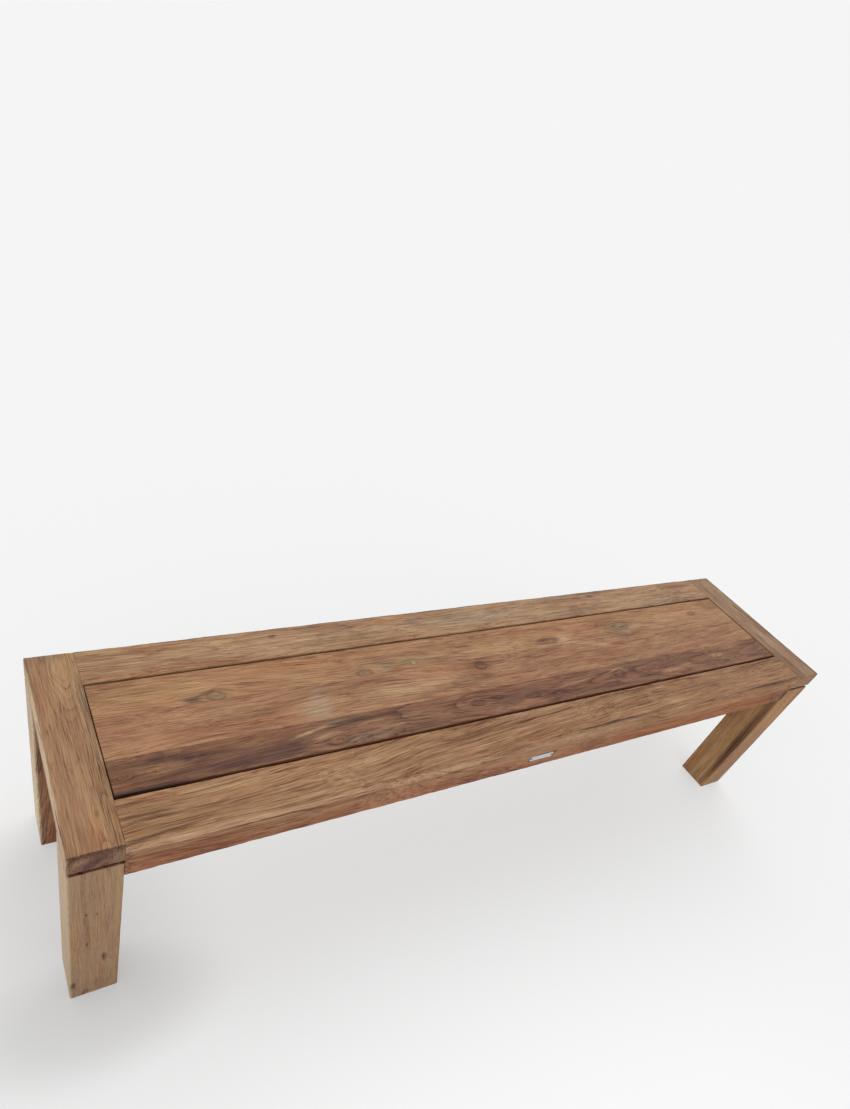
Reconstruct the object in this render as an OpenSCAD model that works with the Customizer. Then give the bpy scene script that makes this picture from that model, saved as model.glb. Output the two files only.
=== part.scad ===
// Backless bench: four square legs, two deep long beams, two end boards that lie across
// the legs, and a seat panel of three glued staves carried on housed battens.
// X runs along the bench, Y from front (-) to back (+), Z up; the origin is on the floor
// under the middle of the seat.

/* [Overall] */
// Length of the bench
bench_l = 1800; // [1500:10:2000]
// Depth of the seat from front to back
bench_w = 400; // [380:5:450]
// Height of the seat above the floor
bench_h = 450; // [420:5:480]

/* [Frame timber] */
// Side of the legs, and width of the beams and end boards that are flush with them
leg_s = 80; // [76:1:90]
// Height of the long beams
beam_h = 80; // [78:1:100]
// Thickness of the end boards
end_t = 40; // [36:1:42]
// Width of the strip glued along the inner edge of each end board
strip_w = 17; // [12:1:18]
// Height of the open shadow gap between a leg and its end board
shadow_gap = 7; // [2:0.5:8]
// Width of the small chamfer along every exposed arris
arris = 1.5; // [0.5:0.25:3]

/* [Seat panel] */
// Thickness of the seat panel
panel_t = 25; // [22:1:28]
// Open gap between the panel and each beam
side_gap = 5; // [3:0.5:8]
// Open gap between the panel and each end board, when the panel lies in the middle
end_gap = 3; // [2:0.5:6]
// How far the panel lies to the right of the middle
panel_shift = -1.5; // [-1.5:0.5:1.5]
// Width of the back stave
back_stave_w = 77; // [60:1:90]
// Width of the front stave
front_stave_w = 67; // [60:1:90]

/* [Battens] */
// Width of each batten under the panel
batten_w = 50; // [40:1:60]
// Thickness of each batten
batten_t = 28; // [22:1:30]
// Distance from an end board to the middle of the first batten
batten_inset = 70; // [64:1:120]
// Depth of the housings that carry the battens in the beams
housing_d = 12; // [8:1:16]

/* [Tenons] */
// Length of the beam tenons in the legs
tenon_l = 50; // [40:1:60]
// Thickness of the beam tenons
tenon_t = 36; // [28:1:38]
// Height of the beam tenons
tenon_h = 24; // [18:1:26]
// Side of the stub on top of each leg
stub_s = 36; // [26:1:40]
// Depth of the stub in the end board
stub_d = 14; // [10:1:15]

/* [End rails] */
// Thickness of the rails between the legs at each end
rail_t = 30; // [24:1:34]
// Height of the end rails
rail_h = 40; // [34:1:44]
// Thickness of the end rail tenons
rail_tenon_t = 14; // [10:1:16]
// Length of the end rail tenons in the legs
rail_tenon_l = 20; // [14:1:21]

/* [Pins and screws] */
// Diameter of the dowels between beams and end boards, and of the tenon pegs
dowel_d = 10; // [8:0.5:11]
// Length of the dowels between beams and end boards
dowel_l = 70; // [50:1:74]
// Length of the pegs that lock the beam tenons
peg_l = 60; // [50:1:68]
// Shank diameter of the batten screws
batten_screw_d = 4.5; // [4:0.5:6]
// Length of the batten screws
batten_screw_l = 38; // [34:1:40]
// Shank diameter of the end rail screws
rail_screw_d = 5; // [4:0.5:6]
// Length of the end rail screws
rail_screw_l = 60; // [50:1:64]

/* [Label plate] */
// Length of the blank label plate
plate_l = 60; // [40:1:80]
// Height of the label plate
plate_h = 14; // [10:1:18]
// Thickness of the label plate
plate_t = 1; // [0.6:0.1:1.2]
// Distance of the plate's middle from the middle of the front beam
plate_x = -17; // [-100:1:100]

/* [Hidden] */
$fn = 48;
half_l = bench_l / 2;
half_w = bench_w / 2;
beam_in = half_l - leg_s;           // beam shoulders, and the inner face of the legs
side_in = half_w - leg_s;           // inner faces of the beams
beam_z = bench_h - beam_h;          // underside of the beams
end_z = bench_h - end_t;            // underside of the end boards
leg_top = end_z - shadow_gap;
leg_cx = half_l - leg_s / 2;        // leg centre along X, and the middle of an end board
leg_cy = half_w - leg_s / 2;        // leg centre along Y, and the middle of a beam

panel_x = beam_in - end_gap;        // half of the panel's length
panel_y = side_in - side_gap;       // half of the panel's width
panel_z = bench_h - panel_t;
seam_back = panel_y - back_stave_w;
seam_front = front_stave_w - panel_y;

BATTENS = [for (i = [-2:2]) i * (beam_in - batten_inset) / 2];
batten_z = panel_z - batten_t;
STAVE_MIDS = [
    (panel_y + seam_back) / 2,
    (seam_back + seam_front) / 2,
    (seam_front - panel_y) / 2,
];

tenon_cover = 5;                    // leg wood above a beam tenon
tenon_z = leg_top - tenon_h - tenon_cover;
rail_inset = 45;                    // from the bench's end to the middle of an end rail
rail_cx = half_l - rail_inset;
rail_z = end_z - rail_h;            // underside of the end rails
low_shoulder = 5;                   // shoulder under a rail tenon
high_shoulder = 11;                 // shoulder above it, which rises past the top of the leg
rail_tenon_h = rail_h - low_shoulder - high_shoulder;
rail_tenon_z = rail_z + low_shoulder;
rail_screw_y = 80;                  // from the middle of the bench to an end rail screw

dowel_drop = 16;                    // from the top of the bench to the middle of a dowel
dowel_z = bench_h - dowel_drop;
dowel_dy = 22;                      // from the middle of a beam to each of its dowels
peg_inset = 12;                     // from the inner face of a leg to the middle of its peg
peg_x = beam_in + peg_inset;
peg_z = tenon_z + tenon_h / 2;
glue_gap = 0.1;                     // clearance round a dowel, peg or screw

head_h = 3;                         // height of a screw's head
head_sink = 2;                      // how deep the batten screws' heads sit in their counterbores
rail_head_sink = 6;                 // how deep the end rail screws' heads sit
slot_extra = 3;                     // extra length of the slots that let the panel move
tip_room = 1.5;                     // free depth of a pilot hole past the tip of its screw
cross_d = 1.8;                      // depth of the cross recess in a screw's head
recess_d = 1.2;                     // depth of the recess that the label plate lies in
plate_r = 3;                        // radius of the plate's corners
plate_rise = 28;                    // from the underside of the beam to the middle of the plate
plate_z = beam_z + plate_rise;
pin_inset = 4;                      // from the end of the plate to a pin
plate_hole_x = plate_l / 2 - pin_inset;
pin_d = 2;
pin_l = 12;
pin_head_d = 4.2;
pin_head_h = 0.8;

END_WOOD = "#a07a55";
STRIP_WOOD = "#98744f";
BEAM_WOOD = "#a27a58";
BACK_STAVE_WOOD = "#a67b57";
MIDDLE_STAVE_WOOD = "#9d7050";
FRONT_STAVE_WOOD = "#7d5643";
LEG_WOOD = "#967657";
HIDDEN_WOOD = "#8f6c4b";
DOWEL_WOOD = "#b08d62";
STEEL = "#b8babd";

// ---- Shapes that repeat ----

// Rectangle with its four corners cut off by c
module cut_rect(w, h, c) {
    polygon([[c, 0], [w - c, 0], [w, c], [w, h - c], [w - c, h], [c, h], [0, h - c], [0, c]]);
}

// Board with all twelve arrises chamfered by c
module eased_board(size, c) {
    intersection() {
        linear_extrude(size.z) cut_rect(size.x, size.y, c);
        translate([0, size.y, 0]) rotate([90, 0, 0]) linear_extrude(size.y) cut_rect(size.x, size.z, c);
        rotate([90, 0, 90]) linear_extrude(size.x) cut_rect(size.y, size.z, c);
    }
}

// Bar along X with only its four long arrises chamfered by c
module eased_bar(size, c) {
    rotate([90, 0, 90]) linear_extrude(size.x) cut_rect(size.y, size.z, c);
}

// Places a shape drawn at the left (-X) and front (-Y) at any end and side
module at_end(right, back = false) {
    mirror([right ? 1 : 0, 0, 0]) mirror([0, back ? 1 : 0, 0]) children();
}

// Cylinder along +X from its start point
module rod_x(d, l) {
    rotate([0, 90, 0]) cylinder(d = d, h = l);
}

// Upright slot that is longer along Y than its width by extra
module slot_y(d, extra, h) {
    translate([-d / 2, -extra / 2, 0]) cube([d, extra, h]);
    for (s = [-1, 1]) translate([0, s * extra / 2, 0]) cylinder(d = d, h = h);
}

// Rectangle with rounded corners, centred on the origin
module round_rect(w, h, r) {
    square([w - 2 * r, h], center = true);
    square([w, h - 2 * r], center = true);
    for (i = [-1, 1], j = [-1, 1]) translate([i * (w / 2 - r), j * (h / 2 - r)]) circle(r);
}

// Pan-head wood screw that points up, with its head's face at z = 0 and a cross recess in it
module wood_screw(d, l) {
    cross = d * 1.1;
    point_h = d;
    difference() {
        union() {
            cylinder(d1 = 1.6 * d, d2 = 2 * d, h = head_h / 3);
            translate([0, 0, head_h / 3]) cylinder(d = 2 * d, h = head_h * 2 / 3);
            cylinder(d = d, h = l - point_h);
            translate([0, 0, l - point_h]) cylinder(d1 = d, d2 = d / 4, h = point_h);
        }
        for (a = [0, 90]) rotate(a) translate([-cross / 2, -0.5, -1]) cube([cross, 1, 1 + cross_d]);
    }
}

// ---- End boards ----

// Left end board before it is divided into board and strip; its inner edge stays square
module end_blank() {
    difference() {
        intersection() {
            translate([-half_l, -half_w, end_z]) eased_board([leg_s + 10, bench_w, end_t], arris);
            translate([-half_l - 1, -half_w - 1, 0]) cube([leg_s + 1, bench_w + 2, bench_h + 1]);
        }
        for (s = [-1, 1]) {
            translate([-leg_cx - stub_s / 2, s * leg_cy - stub_s / 2, end_z - 1])
                cube([stub_s, stub_s, stub_d + 1]);
            for (t = [-1, 1]) translate([-beam_in - dowel_l / 2, s * leg_cy + t * dowel_dy, dowel_z])
                rod_x(dowel_d + 2 * glue_gap, dowel_l);
            translate([-rail_cx, s * rail_screw_y, 0])
                cylinder(d = rail_screw_d + 2 * glue_gap, h = rail_z + rail_head_sink + rail_screw_l);
        }
    }
}

module end_board(right) {
    color(END_WOOD) at_end(right) intersection() {
        end_blank();
        translate([-half_l - 1, -half_w - 1, 0])
            cube([leg_s - strip_w + 1, bench_w + 2, bench_h + 1]);
    }
}

module end_strip(right) {
    color(STRIP_WOOD) at_end(right) intersection() {
        end_blank();
        translate([-beam_in - strip_w, -half_w - 1, 0]) cube([strip_w, bench_w + 2, bench_h + 1]);
    }
}

// ---- Beams ----

// Left end of the front beam: the holes for its dowels and its peg
module beam_end_holes() {
    for (t = [-1, 1]) translate([-beam_in - 1, -leg_cy + t * dowel_dy, dowel_z])
        rod_x(dowel_d + 2 * glue_gap, dowel_l / 2 + 1);
    translate([-peg_x, -side_in, peg_z]) rotate([90, 0, 0])
        cylinder(d = dowel_d + 2 * glue_gap, h = peg_l);
}

// Front beam with a tenon at each end and a housing for each batten
module beam_body() {
    difference() {
        union() {
            translate([-beam_in, -half_w, beam_z])
                eased_bar([2 * beam_in, leg_s, beam_h], arris);
            translate([-beam_in - tenon_l, -leg_cy - tenon_t / 2, tenon_z])
                cube([2 * (beam_in + tenon_l), tenon_t, tenon_h]);
        }
        for (right = [false, true]) at_end(right) beam_end_holes();
        for (x = BATTENS) translate([x - batten_w / 2, -side_in - housing_d, batten_z])
            cube([batten_w, housing_d + 1, batten_t]);
    }
}

module front_beam() {
    color(BEAM_WOOD) difference() {
        beam_body();
        translate([plate_x, -half_w + recess_d, plate_z]) rotate([90, 0, 0])
            linear_extrude(recess_d + 1) round_rect(plate_l, plate_h, plate_r);
        for (s = [-1, 1]) translate([plate_x + s * plate_hole_x, -half_w + 1, plate_z])
            rotate([-90, 0, 0]) cylinder(d = pin_d + 2 * glue_gap, h = pin_l);
    }
}

module back_beam() {
    color(BEAM_WOOD) at_end(false, true) beam_body();
}

// ---- Seat panel ----

// Whole panel, with its pilot holes, before it is divided into staves
module panel_blank() {
    difference() {
        translate([panel_shift - panel_x, -panel_y, panel_z])
            eased_board([2 * panel_x, 2 * panel_y, panel_t], arris);
        for (x = BATTENS, y = STAVE_MIDS) translate([x, y, panel_z - 1])
            cylinder(d = batten_screw_d + 2 * glue_gap,
                     h = batten_screw_l + head_sink - batten_t + 1 + tip_room);
    }
}

// Part of the panel between two lines along X
module stave(y_low, y_high, wood) {
    color(wood) intersection() {
        panel_blank();
        translate([-half_l, y_low, 0]) cube([bench_l, y_high - y_low, bench_h + 1]);
    }
}

module stave_back() {
    stave(seam_back, panel_y + 1, BACK_STAVE_WOOD);
}

module stave_middle() {
    stave(seam_front, seam_back, MIDDLE_STAVE_WOOD);
}

module stave_front() {
    stave(-panel_y - 1, seam_front, FRONT_STAVE_WOOD);
}

// Batten across the bench under the panel, slotted so that the panel can swell and shrink
module batten(i) {
    batten_l = 2 * (side_in + housing_d);
    color(HIDDEN_WOOD) difference() {
        translate([BATTENS[i] - batten_w / 2, -batten_l / 2, batten_z])
            cube([batten_w, batten_l, batten_t]);
        for (y = STAVE_MIDS) translate([BATTENS[i], y, batten_z - 1]) {
            slot_y(batten_screw_d + 1, slot_extra, batten_t + 2);
            slot_y(2 * batten_screw_d + 1, slot_extra, head_sink + head_h + 1);
        }
    }
}

// ---- Legs and end rails ----

// Front left leg: a shoulder under the shadow gap and a stub up into the end board
module leg_body() {
    difference() {
        union() {
            translate([-half_l, -half_w, 0]) eased_board([leg_s, leg_s, leg_top], arris);
            translate([-leg_cx - stub_s / 2, -leg_cy - stub_s / 2, leg_top - arris])
                cube([stub_s, stub_s, arris + shadow_gap + stub_d]);
        }
        translate([-beam_in - tenon_l, -leg_cy - tenon_t / 2, tenon_z])
            cube([tenon_l + 1, tenon_t, tenon_h]);
        translate([-rail_cx - rail_tenon_t / 2, -side_in - rail_tenon_l, rail_tenon_z])
            cube([rail_tenon_t, rail_tenon_l + 1, rail_tenon_h]);
        translate([-peg_x, -side_in + 1, peg_z]) rotate([90, 0, 0])
            cylinder(d = dowel_d + 2 * glue_gap, h = peg_l + 1);
    }
}

module leg(right, back) {
    color(LEG_WOOD) at_end(right, back) leg_body();
}

// Rail between the two legs of one end, tight under the end board
module end_rail(right) {
    color(HIDDEN_WOOD) at_end(right) difference() {
        union() {
            translate([-rail_cx - rail_t / 2, -side_in, rail_z])
                cube([rail_t, 2 * side_in, rail_h]);
            translate([-rail_cx - rail_tenon_t / 2, -side_in - rail_tenon_l, rail_tenon_z])
                cube([rail_tenon_t, 2 * (side_in + rail_tenon_l), rail_tenon_h]);
        }
        for (s = [-1, 1]) translate([-rail_cx, s * rail_screw_y, rail_z - 1]) {
            cylinder(d = rail_screw_d + 1, h = rail_h + 2);
            cylinder(d = 2 * rail_screw_d + 1, h = rail_head_sink + head_h + 1);
        }
    }
}

// ---- Pins and screws ----

module beam_dowels() {
    color(DOWEL_WOOD) for (right = [false, true], back = [false, true], t = [-1, 1])
        at_end(right, back) translate([-beam_in - dowel_l / 2 + 0.5, -leg_cy + t * dowel_dy, dowel_z])
            rod_x(dowel_d, dowel_l - 1);
}

module tenon_pegs() {
    color(DOWEL_WOOD) for (right = [false, true], back = [false, true])
        at_end(right, back) translate([-peg_x, -side_in, peg_z]) rotate([90, 0, 0])
            cylinder(d = dowel_d, h = peg_l - 0.5);
}

module batten_screws() {
    color(STEEL) for (x = BATTENS, y = STAVE_MIDS)
        translate([x, y, batten_z + head_sink]) wood_screw(batten_screw_d, batten_screw_l);
}

module rail_screws() {
    color(STEEL) for (right = [false, true], s = [-1, 1])
        at_end(right) translate([-rail_cx, s * rail_screw_y, rail_z + rail_head_sink])
            wood_screw(rail_screw_d, rail_screw_l - 0.5);
}

// ---- Label plate ----

// Blank metal plate let into the front beam, with two countersunk holes
module label_plate() {
    color(STEEL) translate([plate_x, -half_w + recess_d, plate_z]) rotate([90, 0, 0])
        difference() {
            linear_extrude(plate_t) round_rect(plate_l - 2 * glue_gap, plate_h - 2 * glue_gap, plate_r);
            for (s = [-1, 1]) translate([s * plate_hole_x, 0, 0]) {
                translate([0, 0, -1]) cylinder(d = pin_d + 2 * glue_gap, h = plate_t + 2);
                translate([0, 0, plate_t - pin_head_h])
                    cylinder(d1 = pin_d + 2 * glue_gap, d2 = pin_head_d + 2 * glue_gap, h = pin_head_h);
            }
        }
}

module label_pins() {
    color(STEEL) for (s = [-1, 1])
        translate([plate_x + s * plate_hole_x, -half_w + recess_d - plate_t, plate_z])
            rotate([-90, 0, 0]) {
                cylinder(d1 = pin_head_d, d2 = pin_d, h = pin_head_h);
                cylinder(d = pin_d, h = pin_l - 0.5);
            }
}

end_board(false);  // end_board_left
end_strip(false);  // end_strip_left
end_board(true);  // end_board_right
end_strip(true);  // end_strip_right
front_beam();
back_beam();
stave_back();
stave_middle();
stave_front();
batten(0);  // batten_1
batten(1);  // batten_2
batten(2);  // batten_3
batten(3);  // batten_4
batten(4);  // batten_5
leg(false, false);  // leg_front_left
leg(true, false);  // leg_front_right
leg(false, true);  // leg_back_left
leg(true, true);  // leg_back_right
end_rail(false);  // end_rail_left
end_rail(true);  // end_rail_right
beam_dowels();
tenon_pegs();
batten_screws();
rail_screws();
label_plate();
label_pins();
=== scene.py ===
"""Backless teak bench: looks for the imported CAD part, with a pale floor, soft light and a camera."""

import math

import bpy
import numpy as np
from mathutils import Euler, Matrix, Vector


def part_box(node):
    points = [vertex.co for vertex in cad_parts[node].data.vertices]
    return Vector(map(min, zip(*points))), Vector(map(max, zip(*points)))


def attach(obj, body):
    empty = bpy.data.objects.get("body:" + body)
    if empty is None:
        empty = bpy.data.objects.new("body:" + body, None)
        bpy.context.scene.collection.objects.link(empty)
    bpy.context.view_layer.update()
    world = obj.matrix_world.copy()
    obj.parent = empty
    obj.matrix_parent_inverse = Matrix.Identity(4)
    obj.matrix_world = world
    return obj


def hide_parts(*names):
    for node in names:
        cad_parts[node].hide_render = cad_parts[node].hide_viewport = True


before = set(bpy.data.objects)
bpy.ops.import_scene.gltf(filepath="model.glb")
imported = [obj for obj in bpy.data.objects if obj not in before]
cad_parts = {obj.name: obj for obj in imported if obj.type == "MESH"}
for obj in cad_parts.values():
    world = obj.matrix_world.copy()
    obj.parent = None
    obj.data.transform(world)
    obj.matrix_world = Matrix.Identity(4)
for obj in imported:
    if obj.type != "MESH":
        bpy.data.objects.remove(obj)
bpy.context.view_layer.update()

MM = 0.001

# ---- Camera, light and floor ----

CAMERA_PLACE = Vector((-0.9756, -0.7547, 1.3653))
CAMERA_TARGET = Vector((-0.2895, 0.0988, 0.45))
CAMERA_ROLL = math.radians(19.06)
CAMERA_LENS = 23.11
CAMERA_SHIFT = (0.0546, 0.0888)

FLOOR_RADIUS = 60.0
FLOOR_COLOUR = (0.34, 0.34, 0.34, 1)
FLOOR_GLOW = 0.481
FLOOR_PAINTED_SHADOWS_AND_LIGHT = [
    # painted shadow where the floor glows less, painted light where it glows more (negative loss): centre,
    # half sizes, share of the glow lost
    ((-0.95, -0.05, 0.0), (0.40, 0.36, 1.0), 0.20),
    ((-0.87, -0.24, 0.0), (0.30, 0.13, 1.0), 0.22),
    ((-0.30, -0.95, 0.0), (1.30, 0.75, 1.0), -0.11),
]
SKY_STRENGTH = 0.80
BACKDROP = 0.913                # how bright the camera sees the sky
SUNS = [
    # name, from, strength, angle in degrees
    ("key_light", (0.45, 0.50, 1.0), 1.15, 50),
    ("front_fill", (-0.2, -1.0, 0.2), 1.06, 80),
    ("left_fill", (-1.0, 0.15, 0.12), 1.40, 60),
]
LIGHT_ON_TOP = 1.32             # how bright a white matt seat would look
GLOSS_ON_TOP = 0.04             # how much brighter the seat looks for its gloss


def add_camera():
    """The camera, tipped about its own axis so that its right side is higher than its left."""
    data = bpy.data.cameras.new("camera")
    data.lens = CAMERA_LENS
    data.shift_x, data.shift_y = CAMERA_SHIFT
    data.clip_start = 0.02
    data.clip_end = 200
    camera = bpy.data.objects.new("camera", data)
    ahead = (CAMERA_TARGET - CAMERA_PLACE).normalized()
    level_right = ahead.cross(Vector((0, 0, 1))).normalized()
    level_up = level_right.cross(ahead)
    right = level_right * math.cos(CAMERA_ROLL) + level_up * math.sin(CAMERA_ROLL)
    up = right.cross(ahead)
    turn = Matrix((right, up, -ahead)).transposed()
    camera.matrix_world = Matrix.Translation(CAMERA_PLACE) @ turn.to_4x4()
    bpy.context.scene.collection.objects.link(camera)
    bpy.context.scene.camera = camera


def add_sky():
    """Even light from all round; the camera itself sees a plain pale backdrop."""
    world = bpy.data.worlds.new("sky")
    bpy.context.scene.world = world
    world.use_nodes = True
    tree = world.node_tree
    tree.nodes.clear()
    out = tree.nodes.new("ShaderNodeOutputWorld")
    mix = tree.nodes.new("ShaderNodeMixShader")
    light = tree.nodes.new("ShaderNodeBackground")
    seen = tree.nodes.new("ShaderNodeBackground")
    path = tree.nodes.new("ShaderNodeLightPath")
    light.inputs["Strength"].default_value = SKY_STRENGTH
    light.inputs["Color"].default_value = (1, 1, 1, 1)
    seen.inputs["Color"].default_value = (BACKDROP, BACKDROP, BACKDROP, 1)
    tree.links.new(path.outputs["Is Camera Ray"], mix.inputs[0])
    tree.links.new(light.outputs[0], mix.inputs[1])
    tree.links.new(seen.outputs[0], mix.inputs[2])
    tree.links.new(mix.outputs[0], out.inputs[0])


def add_sun(name, come_from, strength, angle):
    """One broad soft light."""
    data = bpy.data.lights.new(name, "SUN")
    data.energy = strength
    data.angle = math.radians(angle)
    sun = bpy.data.objects.new(name, data)
    sun.rotation_euler = Vector(come_from).to_track_quat("Z", "Y").to_euler()
    bpy.context.scene.collection.objects.link(sun)


def floor_paper():
    """Matt paper that glows faintly, which keeps the shadows soft and pale; its glow is lowered in painted
    shadows near the bench's left end and raised in a painted pool of light in front of it.
    """
    g = Graph("floor_paper")
    place = g.add("ShaderNodeTexCoord").outputs["Object"]
    glow = FLOOR_GLOW
    for centre, size, loss in FLOOR_PAINTED_SHADOWS_AND_LIGHT:
        # painted shadow or painted light: the floor's glow is scaled down or up inside each blob
        shade = g.smooth(g.far(place, centre, size, (0, 0, 0)), 1.0, 0.3, 1.0, 1.0 - loss)
        glow = g.math("MULTIPLY", shade, glow)
    g.shader.inputs["Base Color"].default_value = FLOOR_COLOUR
    g.shader.inputs["Roughness"].default_value = 1.0
    g.shader.inputs["Specular IOR Level"].default_value = 0.0
    g.shader.inputs["Emission Color"].default_value = (1, 1, 1, 1)
    g.feed(g.shader.inputs["Emission Strength"], glow)
    return g.material


def add_floor():
    """A wide plain disc, just under the feet."""
    mesh = bpy.data.meshes.new("floor")
    turns = np.linspace(0, 2 * math.pi, 96, endpoint=False)
    rim = [(FLOOR_RADIUS * math.cos(a), FLOOR_RADIUS * math.sin(a), 0) for a in turns]
    mesh.from_pydata(rim, [], [range(len(rim))])
    floor = bpy.data.objects.new("floor", mesh)
    bpy.context.scene.collection.objects.link(floor)
    mesh.materials.append(floor_paper())


# ---- Boards as meshes ----

STEP_ALONG = 9 * MM
STEP_ACROSS = 6.75 * MM
EDGE_LINES = [d * MM for d in (0.25, 0.6, 1.1, 1.7, 2.5, 3.6, 6.0)]
HOLE_LINES = [d * MM for d in (0, 0.4, 0.8, 1.2, 1.6, 2.1, 2.8)]
CLOSEST_LINES = 0.08 * MM
UNEVEN = 0.12 * MM              # how far a planed face sinks at most
ON_FACE = 1e-7                  # how near to a face, in metres, counts as on it
SHARP_FROM = math.radians(38)


def wobble(seed, shortest=0.012, longest=0.5, count=9):
    """A smooth random function of a length in metres, with about unit spread."""
    draw = np.random.default_rng(seed)
    pitch = 2 * np.pi / np.exp(draw.uniform(math.log(shortest), math.log(longest), count))
    phase = draw.uniform(0, 2 * np.pi, count)
    return lambda t: np.sin(np.outer(t, pitch) + phase).sum(1) / math.sqrt(count / 2)


def grid_lines(low, high, step, extra=()):
    """Lattice lines from low to high: close together at both ends and at the extra places."""
    found = [low, high]
    for d in EDGE_LINES:
        found += [low + d, high - d]
    inner_low, inner_high = low + EDGE_LINES[-1], high - EDGE_LINES[-1]
    count = max(1, round((inner_high - inner_low) / step))
    found += list(np.linspace(inner_low, inner_high, count + 1))
    for x in extra:
        for d in HOLE_LINES:
            found += [x - d, x + d]
    found = np.array(sorted(x for x in found if low <= x <= high))
    keep = np.concatenate([[True], np.diff(found) > CLOSEST_LINES])
    keep[-1] = True
    return found[keep]


def shell(xs, ys, zs):
    """Points and quads of a box's surface on a lattice, with shared points along its edges."""
    counts = (len(xs), len(ys), len(zs))
    i, j, k = np.indices(counts)
    on = (i == 0) | (j == 0) | (k == 0)
    on |= (i == counts[0] - 1) | (j == counts[1] - 1) | (k == counts[2] - 1)
    number = np.full(counts, -1)
    number[on] = np.arange(on.sum())
    points = np.stack([xs[i[on]], ys[j[on]], zs[k[on]]], 1)
    faces = []
    for axis in range(3):
        for side in (0, -1):
            sheet = np.take(number, side, axis)
            a, b, c, d = sheet[:-1, :-1], sheet[1:, :-1], sheet[1:, 1:], sheet[:-1, 1:]
            quads = np.stack([a, b, c, d], -1).reshape(-1, 4)
            outward = (side == -1) != (axis == 1)
            faces.append(quads if outward else quads[:, ::-1])
    return points, np.concatenate(faces)


def round_arrises(points, low, high, radius_of, seed):
    """Rounds each of a box's twelve arrises by its own radius, a little unevenly along it."""
    moved = points.copy()
    for axis in range(3):
        a, b = (axis + 1) % 3, (axis + 2) % 3
        for n, (side_a, side_b) in enumerate(((-1, -1), (-1, 1), (1, -1), (1, 1))):
            wave = wobble(seed * 17 + axis * 4 + n)(points[:, axis])
            radius = radius_of({a: side_a, b: side_b}) * np.clip(1 + 0.22 * wave, 0.6, 1.7)
            from_a = points[:, a] - low[a] if side_a < 0 else high[a] - points[:, a]
            from_b = points[:, b] - low[b] if side_b < 0 else high[b] - points[:, b]
            into_a = np.clip(radius - from_a, 0, None)
            into_b = np.clip(radius - from_b, 0, None)
            across = np.hypot(into_a, into_b)
            keep = np.where(across > 0, np.maximum(into_a, into_b) / np.maximum(across, 1e-12), 1)
            moved[:, a] -= side_a * into_a * (1 - keep)
            moved[:, b] -= side_b * into_b * (1 - keep)
    return moved


def uneven(points, original, low, high, grain, depth, seed):
    """Planed faces that aren't quite flat: every face sinks by up to depth, in long waves."""
    moved = points.copy()
    for axis in range(3):
        if axis == grain:
            continue
        other = 3 - axis - grain
        for side in (-1, 1):
            edge = low[axis] if side < 0 else high[axis]
            near = np.abs(original[:, axis] - edge) < ON_FACE
            along = wobble(seed + 5 * axis + side, 0.05, 0.6)(original[near, grain])
            across = wobble(seed + 9 * axis + side, 0.03, 0.2)(original[near, other])
            moved[near, axis] -= side * depth * np.clip(0.5 + 0.25 * (along + across), 0, 1)
    return moved


def sink_holes(points, original, low, holes):
    """Small round or long holes in the front (-Y) face: x, z, half width, half height and depth."""
    front = np.abs(original[:, 1] - low[1]) < ON_FACE
    for x, z, half_w, half_h, depth in holes:
        away = np.hypot((original[:, 0] - x) / half_w, (original[:, 2] - z) / half_h)
        sink = np.clip((1.15 - away) / 0.5, 0, 1)
        points[:, 1] += np.where(front, depth * sink * sink * (3 - 2 * sink), 0)
    return points


def board_arrays(low, high, grain, radius_of, seed, holes):
    """Points and faces of one eased board."""
    extra_x = [h[0] for h in holes]
    extra_z = [h[1] for h in holes]
    steps = [STEP_ALONG if axis == grain else STEP_ACROSS for axis in range(3)]
    xs = grid_lines(low[0], high[0], steps[0], extra_x)
    ys = grid_lines(low[1], high[1], steps[1])
    zs = grid_lines(low[2], high[2], steps[2], extra_z)
    original, faces = shell(xs, ys, zs)
    points = round_arrises(original, low, high, radius_of, seed)
    points = uneven(points, original, low, high, grain, UNEVEN, seed)
    points = sink_holes(points, original, low, holes)
    return points, faces


def joined(*solids):
    """One pair of point and face arrays from several."""
    points, faces, used = [], [], 0
    for more_points, more_faces in solids:
        points.append(more_points)
        faces.append(more_faces + used)
        used += len(more_points)
    return np.concatenate(points), np.concatenate(faces)


def new_object(name, points, faces):
    """A mesh object from arrays."""
    mesh = bpy.data.meshes.new(name)
    mesh.from_pydata([tuple(p) for p in points], [], [tuple(int(v) for v in f) for f in faces])
    mesh.validate()
    made = bpy.data.objects.new(name, mesh)
    bpy.context.scene.collection.objects.link(made)
    return made


def cutter(outline, depth, place, turn):
    """A closed prism to cut with: the outline, raised by depth along its own Z, turned and placed."""
    n = len(outline)
    flat = [(x, y, 0) for x, y in outline] + [(x, y, depth) for x, y in outline]
    sides = [(i, (i + 1) % n, (i + 1) % n + n, i + n) for i in range(n)]
    mesh = bpy.data.meshes.new("cutter")
    mesh.from_pydata(flat, [], [tuple(range(n))[::-1], tuple(range(n, 2 * n)), *sides])
    mesh.transform(Matrix.Translation(place) @ Euler(turn).to_matrix().to_4x4())
    made = bpy.data.objects.new("cutter", mesh)
    bpy.context.scene.collection.objects.link(made)
    return made


def ring_of_points(radius, count=32):
    return [(radius * math.cos(a), radius * math.sin(a)) for a in np.arange(count) * 2 * math.pi / count]


def rounded_outline(width, height, radius, count=8):
    """Points of a rectangle with round corners, centred on its middle."""
    points = []
    for corner, (sx, sy) in enumerate(((1, 1), (-1, 1), (-1, -1), (1, -1))):
        for a in np.linspace(corner, corner + 1, count) * math.pi / 2:
            x = sx * (width / 2 - radius) + radius * math.cos(a)
            y = sy * (height / 2 - radius) + radius * math.sin(a)
            points.append((x, y))
    return points


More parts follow.
